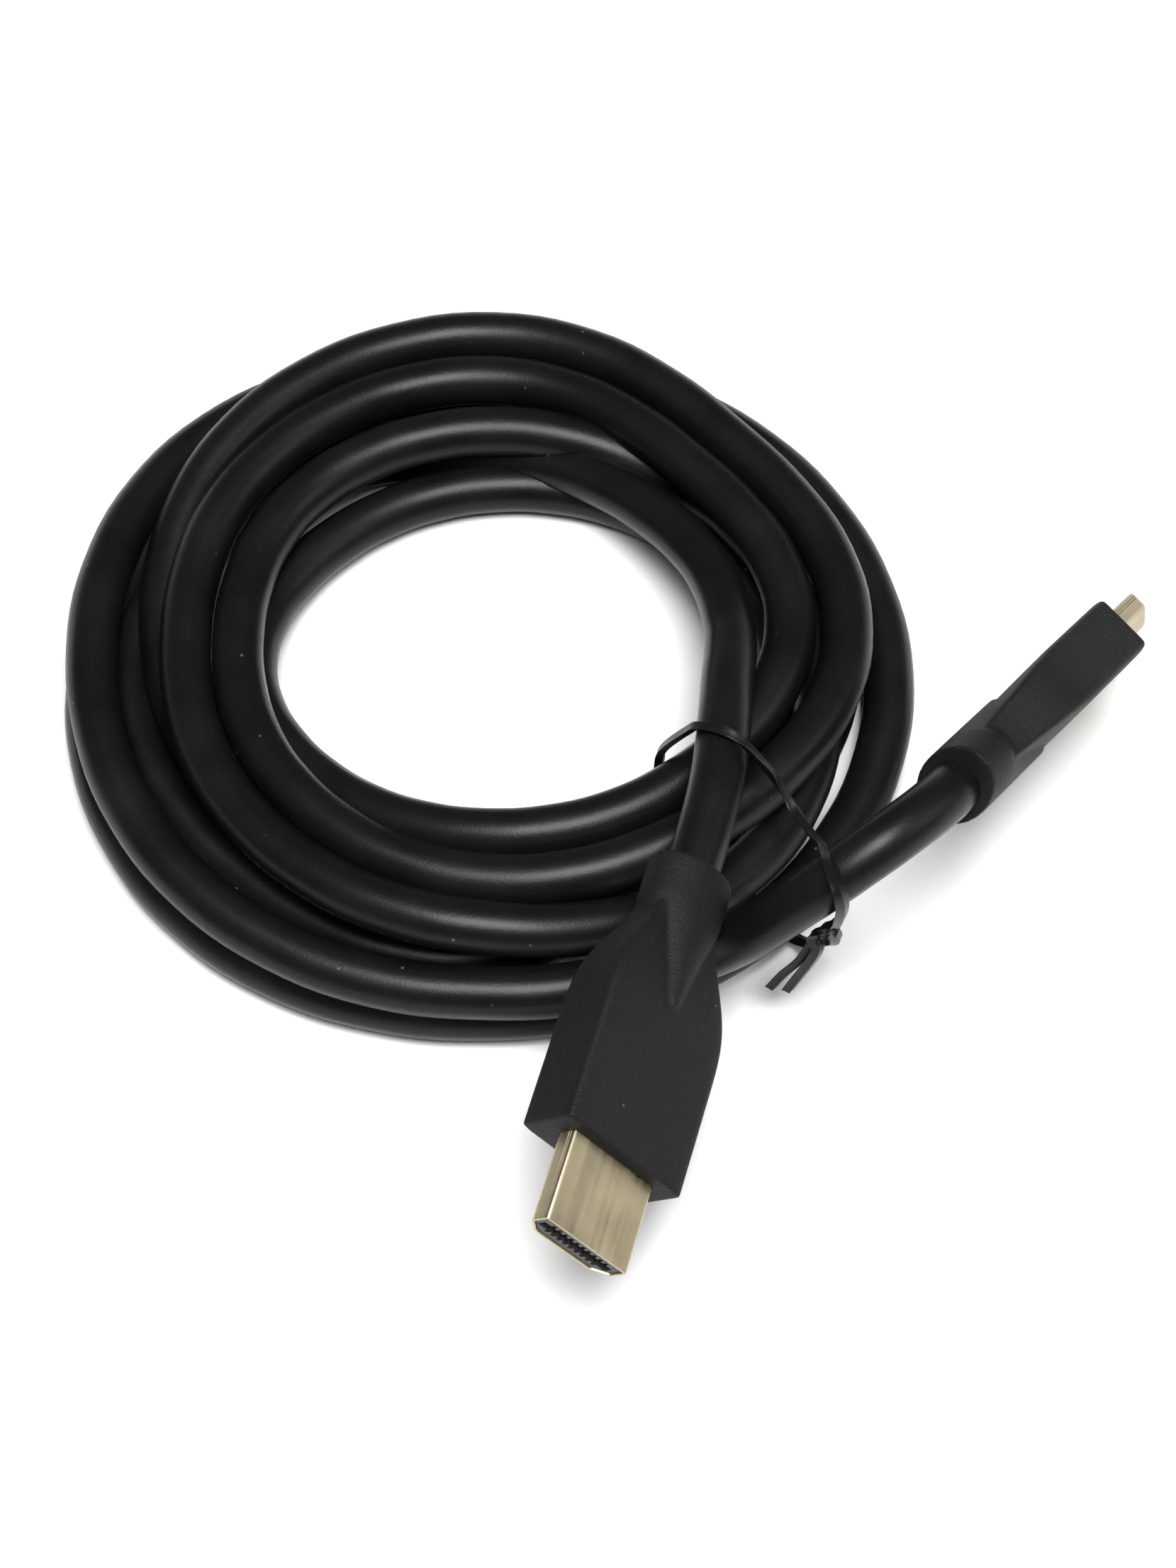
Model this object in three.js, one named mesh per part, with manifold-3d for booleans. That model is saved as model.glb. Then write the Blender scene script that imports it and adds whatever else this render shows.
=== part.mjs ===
// Coiled round HDMI cable with a type A plug on each end, held by a twist tie.
// Millimetres, +Z up. The pieces are drawn around the middle of the coil, on the floor. The whole is
// then moved so that the origin is on the floor, under the middle of the overall box.
// The plug that lies at the front of the coil is "near", the other one is "far".
import * as THREE from 'three';
import { mergeVertices } from 'three/addons/utils/BufferGeometryUtils.js';
import Module from 'manifold-3d';

const wasm = await Module();
wasm.setup();

// Cable and coil
const cableDiameter = 7;
const cableRadius = cableDiameter / 2;
const coilRadius = 43.5;
const lobeCount = 6;
const lobeArc = (4 / 3) * Math.PI;
const lobeSteps = 8;
const coilSteps = 72;
const leadSides = 12;
const leadSteps = 12;
const straightLength = 4.5;

// Clearances
const touchGap = 0.3;
const fitGap = 0.1;

// Plug moulding, with its width along x, its thickness along y and its axis along z
const mouldLength = 40.5;
const mouldWidth = 20;
const mouldThickness = 8.8;
const mouldEdgeRadius = 1.2;
const shoulderStart = 5;
const shoulderEnd = 25;
const shoulderWidth = 9.5;
const shoulderThickness = 5.6;
const collarWidth = 12;
const collarLength = 6;
const ridgeEnd = 20.5;
const ridgeTipWidth = 2.6;
const ridgeNoseLength = 1.6;
const mouldSteps = 30;
const cornerSteps = 5;
const ridgeSides = 32;

// Metal shell: HDMI type A, wide side up, lower corners cut
const shellWidth = 13.9;
const shellHeight = 4.45;
const shellSideHeight = 2.7;
const shellCornerInset = 2.2;
const shellWall = 0.35;
const shellReach = 11.5;
const shellSeatDepth = 3;

// Insulator and contacts
const insulatorRecess = 0.2;
const slotWidth = 11.6;
const slotHeight = 1.3;
const slotDepth = 7.5;
const contactPitch = 1;
const upperContacts = 10;
const lowerContacts = 9;
const cavityWidth = 0.55;
const cavityHeight = 0.5;
const contactWidth = 0.35;
const contactThickness = 0.2;
const contactSetBack = 0.4;

// Twist tie
const tieWidth = 2.4;
const tieThickness = 0.8;
const tieFloorGap = 0.2;
const tieAzimuth = THREE.MathUtils.degToRad(-44);
const tieHullSteps = 24;
const routeSamples = 60;
const knotLength = 5;
const knotRadius = 1.3;
const knotHeight = 7;
const knotEmbed = 0.6;
const tailLength = 10;
const tailSpread = THREE.MathUtils.degToRad(12);
const tailSlope = THREE.MathUtils.degToRad(22);

// A place by the coil: degrees around it, then how far outside coilRadius and how high above the floor,
// both in cable diameters.
function byCoil([around, outside, above]) {
  const angle = THREE.MathUtils.degToRad(around);
  const reach = coilRadius + outside * cableDiameter;
  return new THREE.Vector3(reach * Math.cos(angle), reach * Math.sin(angle), above * cableDiameter);
}

// Where the plugs lie: the middle of the collar's end, the plug's axis, and the way its wide face looks
const nearCollar = byCoil([-59.66, 1.168, 3.571]);
const nearAxis = new THREE.Vector3(-0.274, -0.962, 0.008);
const nearFace = new THREE.Vector3(0.717, -0.134, 0.684);
const farCollar = byCoil([-30.34, 3.543, 4.257]);
const farAxis = new THREE.Vector3(0.501, 0.744, -0.441);
const farFace = new THREE.Vector3(-0.697, 0.65, 0.304);

// Routes of the two free stretches, chosen by hand, from the coil to the collar
const nearRoute = [
  [-3.5, -1.6, 2.43], [-12.4, -1.51, 2.71], [-22.6, -1.33, 3.03], [-34.2, -0.88, 3.36], [-46.3, -0.09, 3.55],
];
const farRoute = [
  [-60.5, 1.88, 1.97], [-55.8, 2.36, 2.87], [-52.2, 2.68, 3.63], [-48.6, 2.96, 4.2], [-44.7, 3.17, 4.56],
  [-40.3, 3.35, 4.72],
];

const sqrt3 = Math.sqrt(3);
const coilHeight = cableRadius + (sqrt3 / 2) * cableDiameter;

const jacket = new THREE.MeshStandardMaterial({ color: 0x0c0d0e, roughness: 0.38, metalness: 0 });
const moulding = new THREE.MeshStandardMaterial({ color: 0x17181a, roughness: 0.75, metalness: 0 });
const plating = new THREE.MeshStandardMaterial({ color: 0xb6ab86, roughness: 0.32, metalness: 1 });
const insulation = new THREE.MeshStandardMaterial({ color: 0x0b0b0d, roughness: 0.5, metalness: 0 });
const gilding = new THREE.MeshStandardMaterial({ color: 0xc9a24a, roughness: 0.3, metalness: 1 });
const tieCoat = new THREE.MeshStandardMaterial({ color: 0x101012, roughness: 0.45, metalness: 0 });

const clean = (source) => {
  const plain = source.clone();
  plain.deleteAttribute('normal');
  plain.deleteAttribute('uv');
  return mergeVertices(plain, 1e-4);
};

const toSolid = (geometry) => {
  const merged = clean(geometry);
  const mesh = new wasm.Mesh({
    numProp: 3,
    vertProperties: new Float32Array(merged.attributes.position.array),
    triVerts: new Uint32Array(merged.index.array),
  });
  return new wasm.Manifold(mesh);
};

const toGeometry = (solid) => {
  const mesh = solid.getMesh();
  const geometry = new THREE.BufferGeometry();
  geometry.setAttribute('position', new THREE.BufferAttribute(mesh.vertProperties, 3));
  geometry.setIndex(new THREE.BufferAttribute(mesh.triVerts, 1));
  geometry.computeVertexNormals();
  return geometry;
};

const named = (name, geometry, material) => {
  const mesh = new THREE.Mesh(geometry, material);
  mesh.name = name;
  return mesh;
};

const smooth = (t) => {
  const s = THREE.MathUtils.clamp(t, 0, 1);
  return s * s * (3 - 2 * s);
};

const basisOf = (axis, face) => {
  const z = axis.clone().normalize();
  const y = face.clone().addScaledVector(z, -face.dot(z)).normalize();
  const x = new THREE.Vector3().crossVectors(y, z);
  return new THREE.Matrix4().makeBasis(x, y, z);
};

// Seven turns packed with six around one: the ring's section is six arcs that meet at points.
function coilOutline() {
  const outline = [];
  for (let lobe = 0; lobe < lobeCount; lobe += 1) {
    const toLobe = (lobe / lobeCount) * 2 * Math.PI;
    const centreX = coilRadius + cableDiameter * Math.cos(toLobe);
    const centreZ = coilHeight + cableDiameter * Math.sin(toLobe);
    for (let step = 0; step < lobeSteps; step += 1) {
      const angle = toLobe - lobeArc / 2 + (lobeArc * step) / lobeSteps;
      const x = centreX + cableRadius * Math.cos(angle);
      outline.push(new THREE.Vector2(x, centreZ + cableRadius * Math.sin(angle)));
    }
  }
  outline.push(outline[0].clone());
  return outline;
}

// The ring has a shallow notch underneath, where the twist tie passes.
function coilGeometry() {
  const ring = new THREE.LatheGeometry(coilOutline(), coilSteps);
  ring.rotateX(Math.PI / 2);
  const notchTop = tieFloorGap + tieThickness + touchGap;
  const notch = new THREE.BoxGeometry(4 * cableDiameter, tieWidth + 2 * touchGap, 2 * notchTop);
  notch.translate(coilRadius, 0, 0);
  notch.rotateZ(tieAzimuth);
  return toGeometry(toSolid(ring).subtract(toSolid(notch)));
}

// The curve of a free stretch: its hand-chosen points, then straight into the collar.
function leadPath(route, collar, axis, gap) {
  const inward = axis.clone().normalize();
  const straight = collar.clone().addScaledVector(inward, -straightLength);
  const end = collar.clone().addScaledVector(inward, -gap);
  const points = route.map(byCoil);
  return new THREE.CatmullRomCurve3([...points, straight, end], false, 'centripetal');
}

function leadGeometry(route, collar, axis) {
  const path = leadPath(route, collar, axis, touchGap);
  const section = new THREE.Shape();
  for (let side = 0; side < leadSides; side += 1) {
    const angle = (side / leadSides) * 2 * Math.PI;
    const x = cableRadius * Math.cos(angle);
    const y = cableRadius * Math.sin(angle);
    if (side === 0) section.moveTo(x, y);
    else section.lineTo(x, y);
  }
  return new THREE.ExtrudeGeometry(section, { steps: leadSteps, extrudePath: path });
}

// A rounded rectangle that changes along z: a cylinder whose rings are pulled to shape.
function mouldGeometry() {
  const sides = 4 * (cornerSteps + 1);
  const length = mouldLength - shoulderStart;
  const block = new THREE.CylinderGeometry(1, 1, length, sides, mouldSteps);
  block.rotateX(Math.PI / 2);
  const place = block.attributes.position;
  for (let i = 0; i < place.count; i += 1) {
    const fraction = place.getZ(i) / length + 0.5;
    const reach = Math.hypot(place.getX(i), place.getY(i));
    const z = shoulderStart + fraction * length;
    const rise = (z - shoulderStart) / (shoulderEnd - shoulderStart);
    const halfWidth = THREE.MathUtils.lerp(shoulderWidth, mouldWidth, Math.sin((smooth(rise) * Math.PI) / 2)) / 2;
    const halfThickness = THREE.MathUtils.lerp(shoulderThickness, mouldThickness, smooth(rise)) / 2;
    const turn = Math.atan2(place.getY(i), place.getX(i)) / (2 * Math.PI);
    const index = Math.round((turn - Math.floor(turn)) * sides) % sides;
    const corner = Math.floor(index / (cornerSteps + 1));
    const within = (index % (cornerSteps + 1)) / cornerSteps;
    const angle = ((corner + within) * Math.PI) / 2;
    const signX = corner === 0 || corner === 3 ? 1 : -1;
    const signY = corner < 2 ? 1 : -1;
    const x = signX * (halfWidth - mouldEdgeRadius) + mouldEdgeRadius * Math.cos(angle);
    const y = signY * (halfThickness - mouldEdgeRadius) + mouldEdgeRadius * Math.sin(angle);
    if (reach < 0.5) place.setXYZ(i, 0, 0, z);
    else place.setXYZ(i, x, y, z);
  }
  return block;
}

// The collar runs into a ridge on both wide faces, narrowing to a round tip.
function ridgeGeometry() {
  const cone = new THREE.CylinderGeometry(1, 1, ridgeEnd, ridgeSides, mouldSteps);
  cone.rotateX(Math.PI / 2);
  const place = cone.attributes.position;
  const noseStart = ridgeEnd - ridgeNoseLength;
  for (let i = 0; i < place.count; i += 1) {
    const z = place.getZ(i) + ridgeEnd / 2;
    const along = THREE.MathUtils.clamp((z - collarLength) / (ridgeEnd - collarLength), 0, 1);
    const intoNose = THREE.MathUtils.clamp((z - noseStart) / ridgeNoseLength, 0, 0.98);
    const nose = Math.sqrt(1 - intoNose * intoNose);
    const halfWidth = (THREE.MathUtils.lerp(collarWidth, ridgeTipWidth, along) / 2) * nose;
    const halfThickness = (mouldThickness / 2 + fitGap) * THREE.MathUtils.lerp(1, nose, 0.2);
    place.setXYZ(i, place.getX(i) * halfWidth, place.getY(i) * halfThickness, z);
  }
  return cone;
}

function shellShape(offset) {
  const halfWidth = shellWidth / 2 - offset;
  const halfHeight = shellHeight / 2 - offset;
  const cutAngle = Math.atan2(shellHeight - shellSideHeight, shellCornerInset);
  const cutTop = shellHeight / 2 - shellSideHeight + offset * Math.tan((Math.PI / 2 - cutAngle) / 2);
  const lowWidth = shellWidth / 2 - shellCornerInset - offset * Math.tan(cutAngle / 2);
  const shape = new THREE.Shape();
  shape.moveTo(-halfWidth, halfHeight);
  shape.lineTo(-halfWidth, cutTop);
  shape.lineTo(-lowWidth, -halfHeight);
  shape.lineTo(lowWidth, -halfHeight);
  shape.lineTo(halfWidth, cutTop);
  shape.lineTo(halfWidth, halfHeight);
  shape.closePath();
  return shape;
}

const extruded = (shape, start, end) => {
  const geometry = new THREE.ExtrudeGeometry(shape, { depth: end - start, bevelEnabled: false });
  geometry.translate(0, 0, start);
  return geometry;
};

const shellStart = mouldLength - shellSeatDepth;
const shellEnd = mouldLength + shellReach;
const insulatorEnd = shellEnd - insulatorRecess;
const slotStart = insulatorEnd - slotDepth;

function overmouldGeometry() {
  const pocket = extruded(shellShape(-fitGap), shellStart - fitGap, mouldLength + shellReach);
  const body = toSolid(mouldGeometry()).add(toSolid(ridgeGeometry()));
  return toGeometry(body.subtract(toSolid(pocket)));
}

function shellGeometry() {
  const shape = shellShape(0);
  shape.holes.push(new THREE.Path(shellShape(shellWall).getPoints().reverse()));
  return extruded(shape, shellStart, shellEnd);
}

const contactRows = [
  { row: 'upper', count: upperContacts, side: 1 },
  { row: 'lower', count: lowerContacts, side: -1 },
];

// Calls back once for each contact, with its name, its place across the plug and its side of the slot.
function eachContact(callback) {
  for (const { row, count, side } of contactRows) {
    for (let index = 0; index < count; index += 1) {
      callback(`${row}_${index + 1}`, (index - (count - 1) / 2) * contactPitch, side);
    }
  }
}

function insulatorGeometry() {
  let solid = toSolid(extruded(shellShape(shellWall + fitGap), shellStart, insulatorEnd));
  const slot = new THREE.BoxGeometry(slotWidth, slotHeight, 2 * slotDepth);
  slot.translate(0, 0, insulatorEnd);
  solid = solid.subtract(toSolid(slot));
  eachContact((label, x, side) => {
    const cavity = new THREE.BoxGeometry(cavityWidth, cavityHeight + slotHeight / 2, 2 * slotDepth);
    cavity.translate(x, (side * (slotHeight / 2 + cavityHeight)) / 2, insulatorEnd);
    solid = solid.subtract(toSolid(cavity));
  });
  return toGeometry(solid);
}

function contactMesh(name, x, side) {
  const length = slotDepth - contactSetBack - fitGap;
  const blade = new THREE.BoxGeometry(contactWidth, contactThickness, length);
  const mesh = named(name, blade, gilding);
  const y = side * (slotHeight / 2 + cavityHeight - fitGap - contactThickness / 2);
  mesh.position.set(x, y, slotStart + fitGap + length / 2);
  return mesh;
}

function plug(end, collar, axis, face) {
  const group = new THREE.Group();
  group.add(named(`overmould_${end}`, overmouldGeometry(), moulding));
  group.add(named(`shell_${end}`, shellGeometry(), plating));
  group.add(named(`insulator_${end}`, insulatorGeometry(), insulation));
  eachContact((label, x, side) => group.add(contactMesh(`contact_${end}_${label}`, x, side)));
  group.position.copy(collar);
  group.quaternion.setFromRotationMatrix(basisOf(axis, face));
  return group;
}

const cross = (o, a, b) => (a[0] - o[0]) * (b[1] - o[1]) - (a[1] - o[1]) * (b[0] - o[0]);

// Convex outline of a set of points, anticlockwise.
function convexOutline(points) {
  const sorted = [...points].sort((a, b) => a[0] - b[0] || a[1] - b[1]);
  const half = (list) => {
    const chain = [];
    for (const point of list) {
      while (chain.length > 1 && cross(chain[chain.length - 2], chain[chain.length - 1], point) <= 0) chain.pop();
      chain.push(point);
    }
    chain.pop();
    return chain;
  };
  return [...half(sorted), ...half(sorted.reverse())];
}

// What a free stretch fills of the tie's slab: balls along it, each cut to its widest circle in the slab.
function heldStretch(route, collar, axis) {
  const path = leadPath(route, collar, axis, 0);
  const across = new THREE.Vector3(-Math.sin(tieAzimuth), Math.cos(tieAzimuth), 0);
  const outward = new THREE.Vector3(Math.cos(tieAzimuth), Math.sin(tieAzimuth), 0);
  const circles = [];
  for (const point of path.getSpacedPoints(routeSamples)) {
    const away = Math.max(0, Math.abs(point.dot(across)) - tieWidth / 2);
    if (away < cableRadius) circles.push([point.dot(outward), point.z, Math.sqrt(cableRadius ** 2 - away ** 2)]);
  }
  return circles;
}

// What the tie goes around: the coil's outer turns and both free stretches, seen along the turns.
function heldCircles() {
  const nearHeld = heldStretch(nearRoute, nearCollar, nearAxis);
  const held = [...nearHeld, ...heldStretch(farRoute, farCollar, farAxis)];
  for (let lobe = 0; lobe < lobeCount; lobe += 1) {
    const angle = (lobe / lobeCount) * 2 * Math.PI;
    const out = coilRadius + cableDiameter * Math.cos(angle);
    held.push([out, coilHeight + cableDiameter * Math.sin(angle), cableRadius]);
  }
  return held;
}

function tieOutline(offset, floor) {
  const points = [];
  for (const [out, height, radius] of heldCircles()) {
    for (let step = 0; step < tieHullSteps; step += 1) {
      const angle = (step / tieHullSteps) * 2 * Math.PI;
      const reach = radius + touchGap + offset;
      points.push([out + reach * Math.cos(angle), Math.max(floor, height + reach * Math.sin(angle))]);
    }
  }
  return convexOutline(points).map(([x, y]) => new THREE.Vector2(x, y));
}

// How far out an outline reaches at one height.
function edgeAt(outline, height) {
  let reach = 0;
  outline.forEach((a, index) => {
    const b = outline[(index + 1) % outline.length];
    if ((a.y - height) * (b.y - height) > 0 || a.y === b.y) return;
    reach = Math.max(reach, THREE.MathUtils.lerp(a.x, b.x, (height - a.y) / (b.y - a.y)));
  });
  return reach;
}

function tailGeometry(turn) {
  const tail = new THREE.BoxGeometry(tieWidth, tailLength, tieThickness);
  tail.translate(0, -tailLength / 2 - knotLength / 2 + knotEmbed, 0);
  tail.rotateZ(turn);
  return tail;
}

// The loop stands in an upright plane through the coil's axis, with its twist and two tails outside.
function tieGeometry() {
  const outer = tieOutline(tieThickness, tieFloorGap);
  const inner = tieOutline(0, tieFloorGap + tieThickness);
  const shape = new THREE.Shape(outer);
  shape.holes.push(new THREE.Path(inner));
  const loop = extruded(shape, -tieWidth / 2, tieWidth / 2);
  loop.rotateX(Math.PI / 2);
  const edge = edgeAt(outer, knotHeight);
  const knot = new THREE.CylinderGeometry(knotRadius, knotRadius, knotLength, 12);
  let ends = toSolid(knot);
  for (const turn of [-tailSpread, tailSpread]) ends = ends.add(toSolid(tailGeometry(turn)));
  const endGeometry = toGeometry(ends);
  endGeometry.translate(0, -knotLength / 2, 0);
  endGeometry.rotateX(tailSlope);
  endGeometry.translate(edge + knotRadius - knotEmbed, 0, knotHeight);
  const whole = toGeometry(toSolid(loop).add(toSolid(endGeometry)));
  whole.rotateZ(tieAzimuth);
  return whole;
}

const cable = new THREE.Group();
cable.add(named('cable_coil', coilGeometry(), jacket));
cable.add(named('cable_lead_near', leadGeometry(nearRoute, nearCollar, nearAxis), jacket));
cable.add(named('cable_lead_far', leadGeometry(farRoute, farCollar, farAxis), jacket));
cable.add(named('twist_tie', tieGeometry(), tieCoat));
cable.add(plug('near', nearCollar, nearAxis, nearFace));
cable.add(plug('far', farCollar, farAxis, farFace));

const box = new THREE.Box3().setFromObject(cable, true);
const middle = box.getCenter(new THREE.Vector3());
cable.position.set(-middle.x, -middle.y, -box.min.z);

export default cable;
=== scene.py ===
"""Coiled round HDMI cable with a type A plug on each end, held by a twist tie.

The cable is one curve. It leaves the near plug, makes seven turns and runs to the far plug. Places by the
coil are given around its middle, and the CAD frame says where that middle is. Lengths in the classes are in
millimetres, and Blender's objects are in metres.
"""

from __future__ import annotations

import logging
import math
from dataclasses import dataclass
from enum import Enum

import bmesh
import bpy
from mathutils import Matrix, Vector

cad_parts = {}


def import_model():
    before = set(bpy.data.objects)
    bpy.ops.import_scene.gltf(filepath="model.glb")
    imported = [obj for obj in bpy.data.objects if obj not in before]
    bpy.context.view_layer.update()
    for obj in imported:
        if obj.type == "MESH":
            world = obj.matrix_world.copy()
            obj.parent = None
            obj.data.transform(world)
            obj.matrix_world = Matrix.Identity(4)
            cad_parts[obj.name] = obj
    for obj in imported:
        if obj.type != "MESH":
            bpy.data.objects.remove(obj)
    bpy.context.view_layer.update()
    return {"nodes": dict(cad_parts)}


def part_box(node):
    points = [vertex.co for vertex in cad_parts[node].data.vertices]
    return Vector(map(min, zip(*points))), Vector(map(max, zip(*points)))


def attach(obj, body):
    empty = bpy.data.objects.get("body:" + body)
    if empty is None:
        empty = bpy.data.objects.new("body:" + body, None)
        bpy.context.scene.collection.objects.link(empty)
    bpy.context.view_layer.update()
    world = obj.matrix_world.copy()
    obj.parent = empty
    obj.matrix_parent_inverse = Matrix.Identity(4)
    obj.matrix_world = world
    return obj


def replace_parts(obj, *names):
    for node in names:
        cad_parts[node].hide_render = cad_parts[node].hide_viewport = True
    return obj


LOG = logging.getLogger("hdmi_cable")
MM = 0.001
DUST_COLOR = (0.07, 0.068, 0.064, 1.0)


class End(Enum):
    """The two ends of the cable, as the CAD nodes are named."""

    NEAR = "near"
    FAR = "far"


class Slot(Enum):
    """The record's material slots, one of which is passed with each new piece."""

    JACKET = "jacket"
    MOULDING = "moulding"
    PLATING = "plating"
    TIE_COAT = "tie_coat"


Point = tuple[float, float, float]


def smooth_step(t: float) -> float:
    """Eases a fraction from 0 to 1."""
    s = min(1.0, max(0.0, t))
    return s * s * (3 - 2 * s)


def catmull(a: Vector, b: Vector, c: Vector, d: Vector, t: float) -> Vector:
    """Finds a place on a smooth curve between the middle two of four points.

    Args:
        a: The point before the stretch.
        b: The start of the stretch.
        c: The end of the stretch.
        d: The point after the stretch.
        t: The fraction of the way from b to c.

    Returns:
        The place on the curve.
    """
    return 0.5 * (2 * b + (c - a) * t + (2 * a - 5 * b + 4 * c - d) * t**2 + (3 * b - a - 3 * c + d) * t**3)


def thread(knots: list[Vector], steps: int) -> list[Vector]:
    """Runs a smooth curve through a list of points.

    Args:
        knots: The points that the curve passes through.
        steps: How many steps are made between two knots.

    Returns:
        The points of the curve, the first and last knot among them.
    """
    ends = [2 * knots[0] - knots[1], *knots, 2 * knots[-1] - knots[-2]]
    out = []
    for i in range(1, len(ends) - 2):
        out += [catmull(*ends[i - 1 : i + 3], step / steps) for step in range(steps)]
    return [*out, knots[-1]]


class Graph:
    """Adds nodes to one shader tree and wires them."""

    def __init__(self, tree: bpy.types.NodeTree) -> None:
        """Keeps the tree that the nodes go into."""
        self.tree = tree
        self.count = 0

    def add(self, kind: str, inputs: dict[str, object] | None = None, **settings: object) -> bpy.types.Node:
        """Adds one node.

        Args:
            kind: The node's type name, without its ShaderNode prefix.
            inputs: A value or an output socket for each named input.
            settings: Properties of the node.

        Returns:
            The new node.
        """
        node = self.tree.nodes.new("ShaderNode" + kind)
        node.location = (180 * (self.count % 8), -240 * (self.count // 8))
        self.count += 1
        for name, value in settings.items():
            setattr(node, name, value)
        for name, value in (inputs or {}).items():
            socket = node.inputs[int(name)] if name.isdigit() else node.inputs[name]
            if isinstance(value, bpy.types.NodeSocket):
                self.tree.links.new(value, socket)
            else:
                socket.default_value = value
        return node

    def ramp(self, factor: bpy.types.NodeSocket, low: float, high: float) -> bpy.types.NodeSocket:
        """Maps a value between two limits onto 0 to 1, and returns the result's socket."""
        inputs = {"Value": factor, "From Min": low, "From Max": high}
        return self.add("MapRange", inputs, clamp=True).outputs["Result"]


def new_group(name: str, inputs: dict[str, str], outputs: dict[str, str]) -> bpy.types.NodeTree:
    """Makes an empty shader node group.

    Args:
        name: The group's name.
        inputs: The type of each named input, such as Float.
        outputs: The type of each named output.

    Returns:
        The group's tree, with its input and output nodes named In and Out.
    """
    tree = bpy.data.node_groups.new(name, "ShaderNodeTree")
    for side, sockets in (("INPUT", inputs), ("OUTPUT", outputs)):
        for label, kind in sockets.items():
            tree.interface.new_socket(name=label, in_out=side, socket_type=f"NodeSocket{kind}")
    tree.nodes.new("NodeGroupInput").name = "In"
    tree.nodes.new("NodeGroupOutput").name = "Out"
    return tree


def close_group(tree: bpy.types.NodeTree, results: dict[str, bpy.types.NodeSocket]) -> None:
    """Wires a group's named results to its output node."""
    for label, socket in results.items():
        tree.links.new(socket, tree.nodes["Out"].inputs[label])


class Effects:
    """Shader node groups that more than one finish uses, each built once."""

    def __init__(self) -> None:
        """Builds the groups."""
        self.grain = self.build_grain()
        self.dust = self.build_dust()
        self.clouding = self.build_clouding()

    def build_grain(self) -> bpy.types.NodeTree:
        """Builds the fine grain of a moulded or extruded skin.

        Returns:
            A group that puts out a height made of fine and of broad unevenness.
        """
        tree = new_group(
            "skin_grain",
            {"Vector": "Vector", "Fine Scale": "Float", "Broad Scale": "Float", "Broad Share": "Float"},
            {"Height": "Float"},
        )
        graph = Graph(tree)
        given = tree.nodes["In"].outputs
        place = given["Vector"]
        fine = graph.add("TexNoise", {"Vector": place, "Scale": given["Fine Scale"], "Detail": 3.0})
        broad = graph.add("TexNoise", {"Vector": place, "Scale": given["Broad Scale"], "Detail": 1.0})
        weights = {"0": given["Broad Share"], "2": fine.outputs["Fac"], "3": broad.outputs["Fac"]}
        close_group(tree, {"Height": graph.add("Mix", weights).outputs[0]})
        return tree

    def build_dust(self) -> bpy.types.NodeTree:
        """Builds small scattered specks of dust.

        Returns:
            A group that puts out the colour with specks on it.
        """
        tree = new_group(
            "dust_specks",
            {"Vector": "Vector", "Color": "Color", "Scale": "Float", "Amount": "Float"},
            {"Color": "Color"},
        )
        graph = Graph(tree)
        given = tree.nodes["In"].outputs
        scatter = {"Vector": given["Vector"], "Scale": given["Scale"], "Randomness": 1.0}
        cells = graph.add("TexVoronoi", scatter)
        pick = graph.add("SeparateColor", {"Color": cells.outputs["Color"]}).outputs["Red"]
        limits = {"0": pick, "1": given["Amount"]}
        chosen = graph.add("Math", limits, operation="LESS_THAN").outputs[0]
        speck_edge, speck_core = 0.16, 0.1
        reach = {"Value": cells.outputs["Distance"], "From Min": speck_edge, "From Max": speck_core}
        near = graph.add("MapRange", reach).outputs["Result"]
        mask = graph.add("Math", {"0": near, "1": chosen}, operation="MULTIPLY").outputs[0]
        tint = {"0": mask, "6": given["Color"], "7": DUST_COLOR}
        close_group(tree, {"Color": graph.add("Mix", tint, data_type="RGBA").outputs[2]})
        return tree

    def build_clouding(self) -> bpy.types.NodeTree:
        """Builds the slow change of gloss and shade over a skin.

        Returns:
            A group that puts out a colour between two and a roughness between two.
        """
        tree = new_group(
            "clouding",
            {
                "Vector": "Vector",
                "Scale": "Float",
                "Dark": "Color",
                "Light": "Color",
                "Rough Low": "Float",
                "Rough High": "Float",
            },
            {"Color": "Color", "Roughness": "Float"},
        )
        graph = Graph(tree)
        given = tree.nodes["In"].outputs
        cloud = graph.add("TexNoise", {"Vector": given["Vector"], "Scale": given["Scale"], "Detail": 4.0})
        level = graph.ramp(cloud.outputs["Fac"], 0.3, 0.7)
        tint = {"0": level, "6": given["Dark"], "7": given["Light"]}
        color = graph.add("Mix", tint, data_type="RGBA").outputs[2]
        rough = graph.add("Mix", {"0": level, "2": given["Rough Low"], "3": given["Rough High"]}).outputs[0]
        close_group(tree, {"Color": color, "Roughness": rough})
        return tree


def start_material(name: str) -> tuple[bpy.types.Material, Graph, bpy.types.Node, bpy.types.NodeSocket]:
    """Makes a node material with an empty Principled shader.

    Args:
        name: The material's name.

    Returns:
        The material, its graph, its shader and its object coordinates.
    """
    material = bpy.data.materials.new(name)
    material.use_nodes = True
    material.node_tree.nodes.clear()
    graph = Graph(material.node_tree)
    shader = graph.add("BsdfPrincipled")
    graph.add("OutputMaterial", {"Surface": shader.outputs["BSDF"]})
    place = graph.add("TexCoord").outputs["Object"]
    return material, graph, shader, place


def wire(graph: Graph, shader: bpy.types.Node, links: dict[str, bpy.types.NodeSocket]) -> None:
    """Wires sockets to the shader's named inputs."""
    for name, socket in links.items():
        graph.tree.links.new(socket, shader.inputs[name])


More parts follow.
